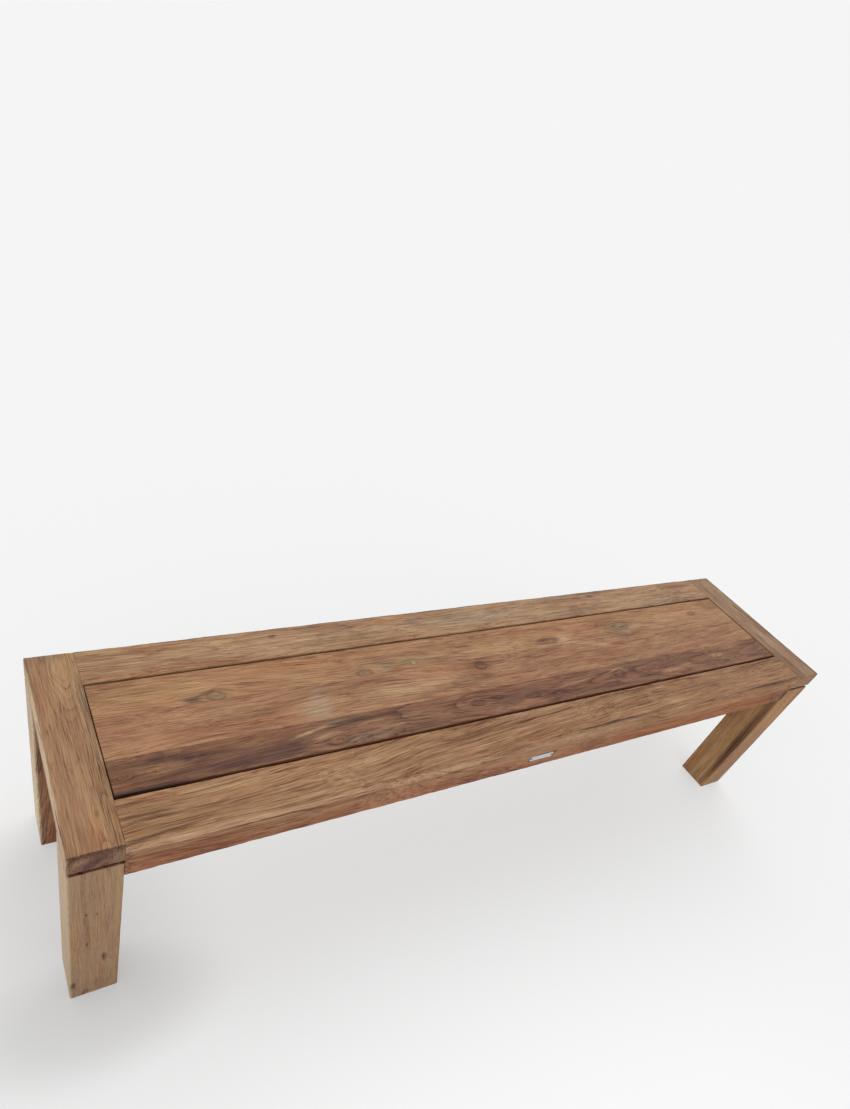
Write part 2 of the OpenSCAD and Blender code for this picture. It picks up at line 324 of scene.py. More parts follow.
def carve(made, tool):
    """Cuts the tool's shape out of a piece and removes the tool."""
    cut = made.modifiers.new("cut", "BOOLEAN")
    cut.operation = "DIFFERENCE"
    cut.solver = "EXACT"
    cut.object = tool
    graph = bpy.context.evaluated_depsgraph_get()
    mesh = bpy.data.meshes.new_from_object(made.evaluated_get(graph))
    made.modifiers.clear()
    made.data = mesh
    bpy.data.objects.remove(tool)


def finish_piece(made, node, material):
    """Shading, finish and place of a piece that stands for a CAD node."""
    made.data.shade_smooth()
    made.data.set_sharp_from_angle(angle=SHARP_FROM)
    made.data.materials.clear()
    made.data.materials.append(material)
    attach(made, "root")
    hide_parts(node)


# ---- Node graphs ----


def linear(channel):
    """One sRGB channel from 0 to 255 as linear light."""
    c = channel / 255
    return c / 12.92 if c <= 0.04045 else ((c + 0.055) / 1.055) ** 2.4


def tint(red, green, blue):
    """The surface colour that looks like this sRGB colour on the lit seat, under a little gloss."""
    seen = [linear(c) for c in (red, green, blue)]
    return tuple(c * c / (c + GLOSS_ON_TOP) / LIGHT_ON_TOP for c in seen) + (1,)


class Graph:
    """Short names for the nodes of one material."""

    def __init__(self, name):
        self.material = bpy.data.materials.new(name)
        self.material.use_nodes = True
        self.tree = self.material.node_tree
        self.tree.nodes.clear()
        output = self.add("ShaderNodeOutputMaterial")
        self.shader = self.add("ShaderNodeBsdfPrincipled")
        self.tree.links.new(self.shader.outputs[0], output.inputs[0])

    def add(self, kind, **options):
        node = self.tree.nodes.new(kind)
        for key, value in options.items():
            setattr(node, key, value)
        return node

    def feed(self, socket, value):
        if isinstance(value, bpy.types.NodeSocket):
            self.tree.links.new(value, socket)
        else:
            socket.default_value = value

    def math(self, operation, *values, clamp=False):
        node = self.add("ShaderNodeMath", operation=operation, use_clamp=clamp)
        for socket, value in zip(node.inputs, values, strict=False):
            self.feed(socket, value)
        return node.outputs[0]

    def swing(self, value, amount, onto):
        """onto, raised or lowered by amount times how far value is from one half."""
        return self.math("MULTIPLY_ADD", self.math("SUBTRACT", value, 0.5), amount, onto)

    def vector(self, operation, *values):
        node = self.add("ShaderNodeVectorMath", operation=operation)
        for socket, value in zip(node.inputs, values, strict=False):
            self.feed(socket, value)
        scalar = operation in ("LENGTH", "DOT_PRODUCT")
        return node.outputs["Value" if scalar else "Vector"]

    def split(self, vector):
        node = self.add("ShaderNodeSeparateXYZ")
        self.feed(node.inputs[0], vector)
        return node.outputs[0], node.outputs[1], node.outputs[2]

    def join(self, x, y, z):
        node = self.add("ShaderNodeCombineXYZ")
        for socket, value in zip(node.inputs, (x, y, z), strict=True):
            self.feed(socket, value)
        return node.outputs[0]

    def noise(self, vector, scales, detail=2.0, roughness=0.5, shift=0.0, output="Fac"):
        """Noise from 0 to 1; scales are its cycles per metre along each axis."""
        spread = self.vector("MULTIPLY_ADD", vector, scales, (shift, shift * 1.7, shift * 0.6))
        node = self.add("ShaderNodeTexNoise", noise_dimensions="3D")
        self.feed(node.inputs["Vector"], spread)
        node.inputs["Scale"].default_value = 1.0
        node.inputs["Detail"].default_value = detail
        node.inputs["Roughness"].default_value = roughness
        return node.outputs[output]

    def chance(self, value):
        node = self.add("ShaderNodeTexWhiteNoise", noise_dimensions="1D")
        self.feed(node.inputs["W"], value)
        return node.outputs["Value"]

    def smooth(self, value, low, high, to_low=0.0, to_high=1.0):
        """A smooth step of value from low to high."""
        node = self.add("ShaderNodeMapRange", interpolation_type="SMOOTHSTEP")
        for socket, number in zip(node.inputs, (value, low, high, to_low, to_high), strict=False):
            self.feed(socket, number)
        return node.outputs[0]

    def ramp(self, value, stops):
        node = self.add("ShaderNodeValToRGB")
        self.feed(node.inputs[0], value)
        elements = node.color_ramp.elements
        while len(elements) < len(stops):
            elements.new(0.5)
        for element, (place, colour) in zip(elements, stops, strict=True):
            element.position = place
            element.color = colour
        return node.outputs[0]

    def mix(self, factor, first, second, blend="MIX"):
        node = self.add("ShaderNodeMix", data_type="RGBA", blend_type=blend)
        self.feed(node.inputs[0], factor)
        self.feed(node.inputs[6], first)
        self.feed(node.inputs[7], second)
        return node.outputs[2]

    def far(self, vector, centre, size, turn):
        """Distance from the centre of an ellipsoid: 0 in its middle and 1 on its surface."""
        node = self.add("ShaderNodeMapping", vector_type="TEXTURE")
        self.feed(node.inputs["Vector"], vector)
        node.inputs["Location"].default_value = centre
        node.inputs["Rotation"].default_value = turn
        node.inputs["Scale"].default_value = size
        return self.vector("LENGTH", node.outputs[0])

    def bump(self, height, strength, distance):
        node = self.add("ShaderNodeBump")
        node.inputs["Strength"].default_value = strength
        node.inputs["Distance"].default_value = distance
        self.feed(node.inputs["Height"], height)
        self.feed(self.shader.inputs["Normal"], node.outputs[0])


# ---- Teak ----

ORDER = {"x": (0, 1, 2), "y": (1, 0, 2), "z": (2, 0, 1)}
FACES = {
    # the object's axes along the face and out of it, the side it's on, and how deep colour goes in mm
    "top": (0, 1, 2, 1, 12),
    "front": (0, 2, 1, -1, 12),
    "left": (1, 2, 0, -1, 4),
}

# How light and dark strokes stand to the colour of the board under them; the ramp holds a share of it.
SHADE_SHARE = 1.8
SHADE_FROM = (155, 119, 92)
SHADES = (
    (0.00, (194, 160, 128)),
    (0.30, (172, 136, 106)),
    (0.50, SHADE_FROM),
    (0.70, (128, 91, 68)),
    (1.00, (84, 54, 43)),
)

COLOURS = {
    "black": (64, 43, 35),
    "umber": (92, 63, 48),
    "plum": (98, 66, 54),
    "brown": (124, 87, 63),
    "red": (142, 92, 66),
    "russet": (160, 110, 82),
    "rust": (158, 106, 72),
    "copper": (148, 88, 44),
    "orange": (172, 120, 76),
    "tan": (166, 128, 94),
    "pale": (180, 146, 110),
    "sand": (196, 155, 122),
    "straw": (174, 140, 98),
    # painted light: used only to make left-facing faces and the left arris paler
    "painted_light_cream": (208, 185, 154),
    "grey": (158, 138, 114),
    "olive": (140, 118, 88),
    "ash": (124, 106, 86),
}


BASE_TONE = 0.395
RIPPLE = 7.5 * MM               # how far small waves move the grain

USUAL = {
    # what a look has where it says nothing else; the shares and strengths are of the shade ramp's length
    "slant": 0.0, "bends": (), "sway": 34 * MM, "slope": (0.0, 0.0), "bow": 0.0, "ring": 4 * MM,
    "fine": 1.55, "middle": 0.36, "broad": 0.45, "blotch": 0.45, "rings": 0.36, "stroke": 0.22,
    "warm": 0.24, "cool": 0.16, "light": 0.14, "warm_colour": "rust",
    "cool_colour": "olive", "light_colour": "straw", "end_body": (108, 80, 64),
    "gloss": 0.25, "patches": {}, "lines": {}, "knots": {},
}


def body_tint(colour):
    """A board or patch colour, ready to be multiplied by the shade ramp."""
    return tuple(min(1.0, c * SHADE_SHARE) for c in tint(*colour)[:3]) + (1,)


def shade_stops():
    base = tint(*SHADE_FROM)
    stops = []
    for place, colour in SHADES:
        share = [c / b / SHADE_SHARE for c, b in zip(tint(*colour)[:3], base[:3], strict=True)]
        stops.append((place, tuple(share) + (1,)))
    return stops


def grain_place(g, centre, grain):
    """Place in the board: along the grain, across it and through it, from the board's centre."""
    coordinates = g.add("ShaderNodeTexCoord").outputs["Object"]
    from_centre = g.vector("SUBTRACT", coordinates, tuple(centre))
    parts = g.split(from_centre)
    return g.join(*(parts[n] for n in ORDER[grain]))


def in_grain_order(vector, grain):
    return tuple(vector[n] for n in ORDER[grain])


class Spot:
    """Where a knot or patch lies: x and y on the face in mm, half length along the grain, half width."""

    def __init__(self, face, box, grain, x, y, long, wide, turn=0.0):
        u, v, normal, side, deep = FACES[face]
        low, high = box
        place = [0.0, 0.0, 0.0]
        place[u] = x * MM
        place[v] = y * MM
        place[normal] = (high if side > 0 else low)[normal]
        size = [wide * MM] * 3
        lengthwise = "xyz".index(grain)
        size[u if lengthwise == normal else lengthwise] = long * MM
        size[normal] = deep * MM
        centre = (low + high) / 2
        self.centre = in_grain_order([p - c for p, c in zip(place, centre, strict=True)], grain)
        self.size = in_grain_order(size, grain)
        about = ORDER[grain].index(normal)
        self.turn = ((turn, 0.0, 0.0), (0.0, -turn, 0.0), (0.0, 0.0, turn))[about]
        self.flat = about


def bend_round_knots(g, place, across, through, knots):
    """Moves the grain aside so that it flows round each knot."""
    for spot in knots:
        away = g.vector("SUBTRACT", place, spot.centre)
        long, wide = spot.size[0], spot.size[2 if spot.flat == 1 else 1]
        squash = [wide / long, 1.0, 1.0]
        squash[spot.flat] = 0.0
        flat = g.vector("MULTIPLY", away, tuple(squash))
        square = g.vector("DOT_PRODUCT", flat, flat)
        share = g.math("DIVIDE", 1.1 * wide**2, g.math("ADD", square, 0.9 * wide**2))
        sides = g.split(away)
        if spot.flat == 1:
            through = g.math("SUBTRACT", through, g.math("MULTIPLY", sides[2], share))
        else:
            across = g.math("SUBTRACT", across, g.math("MULTIPLY", sides[1], share))
    return across, through


def grain_flow(g, place, look, knots):
    """The place moved aside, so that straight grain drawn on it waves and flows round the knots."""
    seed = look["seed"]
    along, across, through = g.split(place)
    across, through = bend_round_knots(g, place, across, through, knots)
    across = g.math("MULTIPLY_ADD", along, -look["slant"], across)
    for start, end, rise in look["bends"]:
        across = g.math("SUBTRACT", across, g.smooth(along, start * MM, end * MM, 0.0, rise * MM))
    sway = g.split(g.noise(place, (2.6, 8, 8), 1, 0.5, seed + 1, "Color"))
    ripple = g.split(g.noise(place, (9, 36, 36), 1, 0.5, seed + 2, "Color"))
    across = g.swing(ripple[0], RIPPLE, g.swing(sway[0], look["sway"], across))
    through = g.swing(ripple[1], RIPPLE, g.swing(sway[1], look["sway"], through))
    return g.join(along, across, through)


def tree_rings(g, flow, look):
    """Dark line of each yearly ring, from 0 to 1; rings are uneven in width and in strength."""
    seed = look["seed"]
    along, across, through = g.split(flow)
    pith_u, pith_v = look["pith"]
    slope_u, slope_v = look["slope"]
    u = g.math("SUBTRACT", across, g.math("MULTIPLY_ADD", along, slope_u, pith_u))
    sag = g.math("MULTIPLY", g.math("MULTIPLY", along, along), look["bow"])
    depth = g.math("ADD", g.math("MULTIPLY_ADD", along, slope_v, pith_v), sag)
    v = g.math("SUBTRACT", through, depth)
    radius = g.math("SQRT", g.math("ADD", g.math("MULTIPLY", u, u), g.math("MULTIPLY", v, v)))
    drift = g.noise(flow, (4, 22, 22), 1, 0.5, seed + 3)
    radius = g.swing(drift, 0.012, radius)
    count = g.math("DIVIDE", radius, look["ring"])
    uneven_count = g.noise(g.join(count, 0.0, 0.0), (0.4, 0, 0), 1, 0.6, seed + 4)
    count = g.math("MULTIPLY_ADD", uneven_count, 4.0, count)
    within, number = g.math("FRACT", count), g.math("FLOOR", count)
    strength = g.math("POWER", g.chance(number), 1.4)
    line = g.math("POWER", g.math("SUBTRACT", 1.0, within), 3.5)
    return g.math("MULTIPLY", line, strength)


def on_end_grain(g, grain):
    """1 on end grain and 0 on the board's other faces."""
    normal = g.add("ShaderNodeTexCoord").outputs["Normal"]
    part = g.split(normal)["xyz".index(grain)]
    return g.smooth(g.math("ABSOLUTE", part), 0.6, 0.85)


def lay_patches(g, colour, place, streak, spots):
    """Patches of another colour whose edges follow the grain."""
    broken = g.math("MULTIPLY_ADD", streak, 1.5, 0.25)
    for spot, name, strength in spots:
        cover = g.smooth(g.far(place, spot.centre, spot.size, spot.turn), 1.35, 0.35)
        cover = g.math("MULTIPLY", g.math("MULTIPLY", cover, strength), broken, clamp=True)
        colour = g.mix(cover, colour, body_tint(COLOURS[name]))
    return colour


def lay_knots(g, colour, tone, place, streak, knots):
    """Knots: a core with a few fine rings, and a dark rim that is broken like the grain round it."""
    for spot, core, rim, strength in knots:
        far = g.swing(streak, 0.7, g.far(place, spot.centre, spot.size, spot.turn))
        rings = g.math("SINE", g.math("MULTIPLY", far, 15.0))
        inside = g.smooth(far, 1.2, 0.6)
        tone = g.math("MULTIPLY_ADD", g.math("MULTIPLY", rings, inside), 0.08, tone)
        colour = g.mix(g.math("MULTIPLY", inside, strength), colour, body_tint(COLOURS[core]))
        edge = g.math("MULTIPLY", g.smooth(far, 0.6, 0.95), g.smooth(far, 1.6, 1.05))
        broken = g.math("MULTIPLY_ADD", streak, 2.4, -0.55, clamp=True)
        dark = g.math("MULTIPLY", g.math("MULTIPLY", edge, broken), strength)
        colour = g.mix(dark, colour, body_tint(COLOURS[rim]))
    return colour, tone


def spread(g, place, along, across, amounts, seed):
    """place shaken by noise that is drawn out along the grain."""
    noise = g.noise(place, (along, across, across), 2, 0.55, seed, "Color")
    shake = g.vector("SUBTRACT", noise, (0.5, 0.5, 0.5))
    return g.vector("MULTIPLY_ADD", shake, amounts, place)


def read_patches(by_face, box, grain):
    found = []
    for face, rows in by_face.items():
        for x, y, long, wide, colour, strength, *turn in rows:
            found.append((Spot(face, box, grain, x, y, long, wide, *turn), colour, strength))
    return found


def read_knots(by_face, box, grain):
    found = []
    for face, rows in by_face.items():
        for x, y, long, wide, core, rim, strength in rows:
            found.append((Spot(face, box, grain, x, y, long, wide), core, rim, strength))
    return found


def grain_tone(g, layers, look):
    """How dark the wood is, from 0 to 1, along its grain."""
    tone = BASE_TONE
    for layer in ("fine", "middle", "broad", "blotch"):
        tone = g.swing(layers[layer], look[layer], tone)
    tone = g.math("MULTIPLY_ADD", layers["rings"], look["rings"], tone)
    tone = g.math("MULTIPLY_ADD", layers["stroke"], look["stroke"], tone)
    return g.math("MULTIPLY_ADD", layers["pores"], 0.2, tone)


def grain_layers(g, flow, look):
    """The noises and rings that the grain is made of."""
    seed = look["seed"]
    stroke = g.noise(flow, (9, 620, 620), 2, 0.55, seed + 17)
    pores = g.noise(flow, (40, 1300, 1300), 1, 0.5, seed + 11)
    return {
        "fine": g.noise(flow, (10, 560, 560), 3, 0.65, seed + 5),
        "middle": g.noise(flow, (4.5, 210, 210), 3, 0.6, seed + 7),
        "broad": g.noise(flow, (3.2, 44, 44), 2, 0.5, seed + 9),
        "blotch": g.noise(flow, (6, 15, 15), 2, 0.5, seed + 15),
        "stroke": g.smooth(stroke, 0.53, 0.70),
        "pores": g.smooth(pores, 0.56, 0.70),
        "rings": tree_rings(g, flow, look),
    }


def body_colour(g, flow, end, look):
    """The board's own colour, darker on end grain, with slow changes of hue."""
    end_body = body_tint(look["end_body"])
    colour = g.mix(g.math("MULTIPLY", end, 0.9), body_tint(look["body"]), end_body)
    hue = g.split(g.noise(flow, (3, 26, 26), 2, 0.5, look["seed"] + 13, "Color"))
    for part, name, low, high in ((0, "warm", 0.48, 0.72), (1, "cool", 0.5, 0.74), (2, "light", 0.5, 0.74)):
        share = g.math("MULTIPLY", g.smooth(hue[part], low, high), look[name])
        colour = g.mix(share, colour, body_tint(COLOURS[look[name + "_colour"]]))
    return colour


def wood_surface(g, layers, look):
    """Roughness, gloss and relief."""
    fine, stroke = layers["fine"], layers["stroke"]
    rough = g.math("MULTIPLY_ADD", stroke, 0.1, g.swing(fine, 0.2, 0.58))
    g.feed(g.shader.inputs["Roughness"], rough)
    g.shader.inputs["Specular IOR Level"].default_value = look["gloss"]
    relief = g.math("MULTIPLY_ADD", fine, 0.6, g.math("MULTIPLY", layers["rings"], -0.3))
    relief = g.math("MULTIPLY_ADD", stroke, -0.35, relief)
    relief = g.math("MULTIPLY_ADD", layers["pores"], -0.45, relief)
    g.bump(relief, 0.55, 0.3 * MM)


def teak(name, box, grain, changes):
    """Teak for one board that fills a box."""
    look = {**USUAL, **changes}
    seed = look["seed"]
    patches = read_patches(look["patches"], box, grain)
    lines = read_patches(look["lines"], box, grain)
    knots = read_knots(look["knots"], box, grain)
    g = Graph(name)
    place = grain_place(g, (box[0] + box[1]) / 2, grain)
    flow = grain_flow(g, place, look, [spot for spot, *_ in knots])
    layers = grain_layers(g, flow, look)
    tone = grain_tone(g, layers, look)
    end = on_end_grain(g, grain)

    feathered = spread(g, place, 22, 130, (0.036, 0.0075, 0.0075), seed + 19)
    crisp = spread(g, place, 60, 60, (0.0015, 0.0015, 0.0015), seed + 21)
    rough_edged = spread(g, place, 90, 160, (0.007, 0.005, 0.005), seed + 23)
    colour = body_colour(g, flow, end, look)
    colour = lay_patches(g, colour, feathered, layers["middle"], patches)
    colour = lay_patches(g, colour, crisp, layers["fine"], lines)
    colour, tone = lay_knots(g, colour, tone, rough_edged, layers["middle"], knots)

    grit = g.noise(place, (60, 330, 330), 3, 0.65, seed + 25)
    sawn = g.math("MULTIPLY_ADD", layers["rings"], 0.8, g.swing(grit, 1.5, 0.38))
    planed = g.math("MULTIPLY", tone, g.math("SUBTRACT", 1.0, end))
    tone = g.math("ADD", planed, g.math("MULTIPLY", sawn, end))
    colour = g.mix(1.0, colour, g.ramp(tone, shade_stops()), "MULTIPLY")
    g.feed(g.shader.inputs["Base Color"], colour)
    wood_surface(g, layers, look)
    return g.material


# ---- Plain materials ----


def turned_wood(name):
    """Pale dowel wood, with its grain along X."""
    g = Graph(name)
    place = g.add("ShaderNodeTexCoord").outputs["Object"]
    grain = g.noise(place, (25, 800, 800), 3, 0.6, 5)
    patch = g.noise(place, (9, 60, 60), 2, 0.5, 8)
    tone = g.swing(patch, 0.5, grain)
    shades = [(0.2, tint(196, 164, 122)), (0.8, tint(150, 112, 76))]
    g.feed(g.shader.inputs["Base Color"], g.ramp(tone, shades))
    g.feed(g.shader.inputs["Roughness"], g.swing(grain, 0.3, 0.5))
    g.bump(grain, 0.3, 0.2 * MM)
    return g.material


def brushed_steel(name, streaks, colour, rough):
    """Satin steel; streaks are the brushing's cycles per metre along each axis."""
    g = Graph(name)
    place = g.add("ShaderNodeTexCoord").outputs["Object"]
    brushed = g.noise(place, streaks, 3, 0.6, 2)
    smudge = g.noise(place, (90, 90, 90), 2, 0.5, 6)
    dark = tuple(c * 0.72 for c in colour) + (1,)
    light = tuple(colour) + (1,)
    tone = g.swing(smudge, 0.6, brushed)
    g.feed(g.shader.inputs["Base Color"], g.ramp(tone, [(0.3, dark), (0.7, light)]))
    g.feed(g.shader.inputs["Roughness"], g.swing(brushed, 0.3, g.swing(smudge, 0.15, rough)))
    g.shader.inputs["Metallic"].default_value = 1.0
    g.bump(brushed, 0.25, 0.05 * MM)
    return g.material


# ---- What each board looks like ----
# A patch is x, y, half length, half width (mm), colour, strength and perhaps how far it is turned.
# A line is the same as a patch, with crisper edges and laid over the patches.
# A knot is x, y, half length, half width (mm), core colour, rim colour and strength.
# A hole in the front face is x, z, half width, half height and depth (mm).

LOOKS = {}
LOOKS["end_board_left"] = dict(
    seed=11, body=(161, 123, 93), pith=(0.0205, -0.015), slope=(0.0, 0.088), bow=0.384, ring=0.0045,
    rings=0.38, sway=0.009, middle=0.25, stroke=0.16, fine=0.9, blotch=0.6, warm=0.12, light=0.06,
    cool=0.08, end_body=(116, 84, 70),
    patches={"top": [
        (-848, 150, 60, 20, "straw", 0.25), (-828, 40, 170, 5, "olive", 0.5),
        (-897, 60, 260, 4, "olive", 0.4), (-886, 118, 60, 8, "rust", 0.25),
        (-848, -160, 50, 9, "orange", 0.35), (-872, -120, 60, 6, "red", 0.3),
        (-880, -60, 90, 8, "brown", 0.25), (-845, 10, 110, 8, "brown", 0.25),
        (-858, -175, 26, 9, "rust", 0.35), (-838, -125, 35, 9, "olive", 0.4),
        (-883, -188, 14, 5, "straw", 0.5), (-860, 199, 20, 60, "ash", 0.5),
    ], "front": [
        (-862, 426, 26, 8, "umber", 0.8, 0.75), (-880, 436, 20, 8, "tan", 0.5, 0.75),
        (-852, 416, 16, 6, "brown", 0.5, 0.4),
    ]},
    lines={"top": [
        # painted light: the cream line along the top's left arris and the cream on the left face make them
        # paler
        (-868, -199, 2.2, 60, "umber", 0.85), (-899, 0, 260, 1.8, "painted_light_cream", 0.5),
    ], "left": [
        (0, 430, 300, 60, "painted_light_cream", 0.55),
    ]},
    knots={"top": [(-847, -137, 6, 2.5, "brown", "umber", 0.35)]},
)
LOOKS["end_strip_left"] = dict(
    seed=23, body=(157, 119, 90), pith=(-0.002, 0.004), ring=0.0035, rings=0.3, sway=0.008, cool=0.25,
    end_body=(134, 104, 84),
    lines={"top": [(-829, -199, 2.2, 14, "umber", 0.85)]},
    patches={"top": [
        (-828, 165, 45, 12, "straw", 0.4), (-826, 90, 60, 9, "ash", 0.4), (-827, 138, 14, 6, "red", 0.35),
        (-826, -150, 22, 5, "orange", 0.5), (-832, -165, 30, 5, "olive", 0.4),
        (-828, -190, 18, 8, "brown", 0.6), (-824, 40, 200, 3, "olive", 0.4),
    ]},
)
LOOKS["end_board_right"] = dict(
    seed=29, body=(151, 119, 94), pith=(0.03, -0.07), ring=0.006, rings=0.4, sway=0.02, cool=0.2, warm=0.3,
    end_body=(152, 114, 84),
    patches={"top": [
        (860, 170, 40, 16, "straw", 0.3), (893, 20, 260, 6, "olive", 0.25),
        (842, -150, 60, 5, "umber", 0.7), (872, 0, 20, 6, "orange", 0.5), (855, -60, 60, 14, "grey", 0.5),
        (868, 90, 50, 10, "grey", 0.4), (850, -150, 40, 9, "rust", 0.35),
    ], "front": [
        (898, 436, 5, 14, "umber", 0.9), (862, 434, 26, 10, "rust", 0.4),
    ]},
)
LOOKS["end_strip_right"] = dict(
    seed=37, body=(148, 115, 88), pith=(0.04, -0.03), ring=0.005, rings=0.3, sway=0.01, cool=0.4,
    end_body=(150, 112, 82),
    patches={"top": [(828, -150, 60, 7, "brown", 0.5)]},
)
LOOKS["front_beam"] = dict(
    seed=31, body=(156, 119, 90), pith=(0.10, -0.045), slope=(0.0, 0.012), ring=0.0048, rings=0.38,
    cool=0.08, gloss=0.17, slant=0.02, bends=[(-440, -250, 20), (-250, 250, 20)],
    lines={"front": [
        # painted shade: the umber band at x 811, where the beam's end meets the right front leg
        (811, 388, 10, 26, "umber", 1.0), (0, 371, 1100, 2.5, "brown", 0.6),
        # painted shadow: the four black lines round the label plate's groove
        (-17, 405.8, 34, 2.3, "black", 1.0), (-17, 390.4, 34, 1.6, "black", 0.7),
        (-48.0, 398, 1.9, 9, "black", 1.0), (14.0, 398, 1.9, 9, "black", 1.0),
    ]},
    patches={"top": [
        (-780, -157, 40, 3, "umber", 0.8), (-790, -133, 34, 2.2, "umber", 0.7),
        (-775, -164, 34, 2.5, "umber", 0.7), (-690, -165, 110, 2, "brown", 0.7),
        (-770, -184, 70, 3, "brown", 0.6), (-775, -195, 70, 4, "umber", 0.9, 0.1),
        (-750, -130, 40, 7, "red", 0.5), (-480, -172, 34, 10, "pale", 0.3),
        (-650, -140, 90, 8, "pale", 0.35), (-560, -185, 90, 5, "tan", 0.4),
        (-360, -150, 120, 6, "pale", 0.35), (-330, -178, 120, 3, "brown", 0.5, 0.12),
        (-150, -160, 180, 2.4, "brown", 0.5, 0.08), (-60, -178, 140, 2.4, "brown", 0.5, 0.05),
        (60, -140, 150, 3, "brown", 0.45, 0.03), (120, -165, 120, 4, "straw", 0.4),
        (170, -194, 190, 3, "umber", 0.8), (700, -196, 150, 3.5, "umber", 0.8),
        (-480, -198, 330, 2, "brown", 0.6), (430, -150, 150, 8, "brown", 0.3),
        (420, -180, 130, 4, "straw", 0.4), (640, -150, 130, 8, "tan", 0.3), (730, -130, 60, 5, "red", 0.4),
        (300, -128, 200, 3, "brown", 0.4),
    ], "front": [
        (-600, 436, 420, 14, "sand", 0.85), (-100, 436, 300, 12, "sand", 0.35),
        (0, 374, 1600, 46, "russet", 0.9), (500, 386, 420, 26, "copper", 0.75),
        (520, 430, 400, 14, "orange", 0.75), (-740, 392, 130, 24, "red", 0.7),
        (-760, 410, 80, 5, "brown", 0.5), (-620, 426, 70, 2.4, "brown", 0.9),
        (-545, 425, 50, 2.6, "brown", 0.9, -0.12), (-490, 416, 46, 2.4, "brown", 0.8),
        (-430, 420, 46, 2.4, "brown", 0.85, 0.1), (-330, 419, 70, 2.4, "brown", 0.7),
        (-235, 423, 55, 2.6, "brown", 0.8, 0.05), (-150, 429, 55, 2.2, "brown", 0.7, 0.06),
        (-500, 411, 22, 4, "rust", 0.8), (-580, 400, 12, 4, "grey", 0.6), (-524, 402, 9, 5, "grey", 0.5),
        (-500, 436, 60, 8, "pale", 0.5), (-390, 398, 26, 8, "olive", 0.35, -0.5),
        (-160, 388, 50, 5, "rust", 0.5), (0, 416, 60, 6, "orange", 0.4), (128, 393, 38, 16, "brown", 0.65),
        (110, 382, 16, 6, "red", 0.7), (190, 384, 60, 5, "rust", 0.5), (360, 394, 90, 7, "orange", 0.5),
        (460, 398, 60, 7, "rust", 0.6), (300, 430, 160, 5, "olive", 0.35),
        (420, 432, 120, 4, "olive", 0.35), (560, 412, 140, 4, "red", 0.7), (640, 402, 120, 9, "red", 0.7),
        (700, 394, 160, 22, "copper", 0.85), (790, 392, 36, 24, "brown", 0.6),
        (640, 432, 240, 9, "rust", 0.35), (580, 385, 120, 9, "rust", 0.6), (-815, 400, 4, 44, "umber", 0.6),
    ]},
    knots={"top": [
        (-490, -157, 15, 5, "tan", "brown", 0.5),
    ], "front": [
        (-430, 447, 9, 2.5, "brown", "umber", 0.7),
    ]},
)
LOOKS["back_beam"] = dict(
    seed=43, body=(163, 127, 97), pith=(0.075, -0.085), ring=0.006, rings=0.22, middle=0.28, cool=0.3,
    warm=0.25, cool_colour="grey", sway=0.03,
    patches={"top": [
        (-690, 185, 60, 9, "red", 0.6), (-740, 178, 80, 3, "brown", 0.6, -0.12),
        (-560, 178, 80, 8, "pale", 0.5), (-390, 165, 34, 12, "pale", 0.45),
        (-330, 178, 130, 4, "brown", 0.4), (-310, 150, 100, 18, "olive", 0.35),
        (-190, 183, 44, 7, "orange", 0.5), (100, 185, 22, 5, "orange", 0.5),
        (-105, 166, 90, 7, "grey", 0.6), (30, 158, 150, 18, "grey", 0.6), (300, 135, 110, 11, "ash", 0.35),
        (-130, 175, 44, 2, "brown", 0.6), (-650, 128, 190, 8, "rust", 0.5), (290, 162, 70, 6, "tan", 0.4),
        (740, 180, 70, 8, "red", 0.6), (500, 180, 60, 6, "orange", 0.4), (600, 140, 160, 10, "grey", 0.4),
        (0, 199, 1300, 3, "ash", 0.8),
    ]},
    knots={"top": [(-459, 178, 7, 3.5, "brown", "umber", 0.9), (412, 182, 10, 4, "brown", "umber", 0.6)]},
)
LOOKS["stave_back"] = dict(
    seed=53, body=(162, 121, 88), pith=(0.02, -0.075), ring=0.005, rings=0.3, slant=-0.045, warm=0.24,
    warm_colour="orange", light=0.08,
    patches={"top": [
        (-450, 97, 170, 14, "rust", 0.45), (-700, 74, 90, 9, "straw", 0.35),
        (-632, 50, 46, 15, "olive", 0.5), (-652, 47, 20, 6, "umber", 0.8),
        (-628, 60, 26, 3, "brown", 0.8, 0.35), (-594, 61, 20, 3, "brown", 0.6, -0.35),
        (-292, 48, 26, 18, "straw", 0.55), (-268, 54, 18, 13, "grey", 0.5), (-345, 42, 30, 5, "brown", 0.5),
        (-250, 65, 80, 7, "olive", 0.7, -0.12), (-190, 60, 70, 10, "olive", 0.55),
        (-110, 50, 70, 8, "ash", 0.4), (-60, 90, 120, 7, "rust", 0.4, -0.05),
        (130, 95, 100, 8, "rust", 0.4), (212, 52, 24, 15, "pale", 0.7), (140, 48, 40, 5, "brown", 0.6),
        (270, 68, 18, 8, "red", 0.6, 0.4), (320, 88, 130, 18, "rust", 0.4), (410, 66, 56, 20, "olive", 0.6),
        (455, 54, 28, 10, "pale", 0.5), (360, 47, 70, 4, "olive", 0.5), (692, 71, 26, 9, "red", 0.6),
        (600, 95, 120, 9, "orange", 0.4), (560, 60, 60, 6, "pale", 0.4), (-780, 108, 60, 5, "red", 0.4),
    ]},
    knots={"top": [
        (-612, 49, 15, 11, "ash", "umber", 0.55), (-314, 46, 16, 8, "ash", "umber", 0.6),
        (-198, 53, 7, 6, "pale", "brown", 0.6), (170, 55, 28, 9, "brown", "umber", 0.7),
        (418, 66, 22, 11, "ash", "umber", 0.5), (692, 72, 10, 6, "brown", "umber", 0.8),
    ]},
)
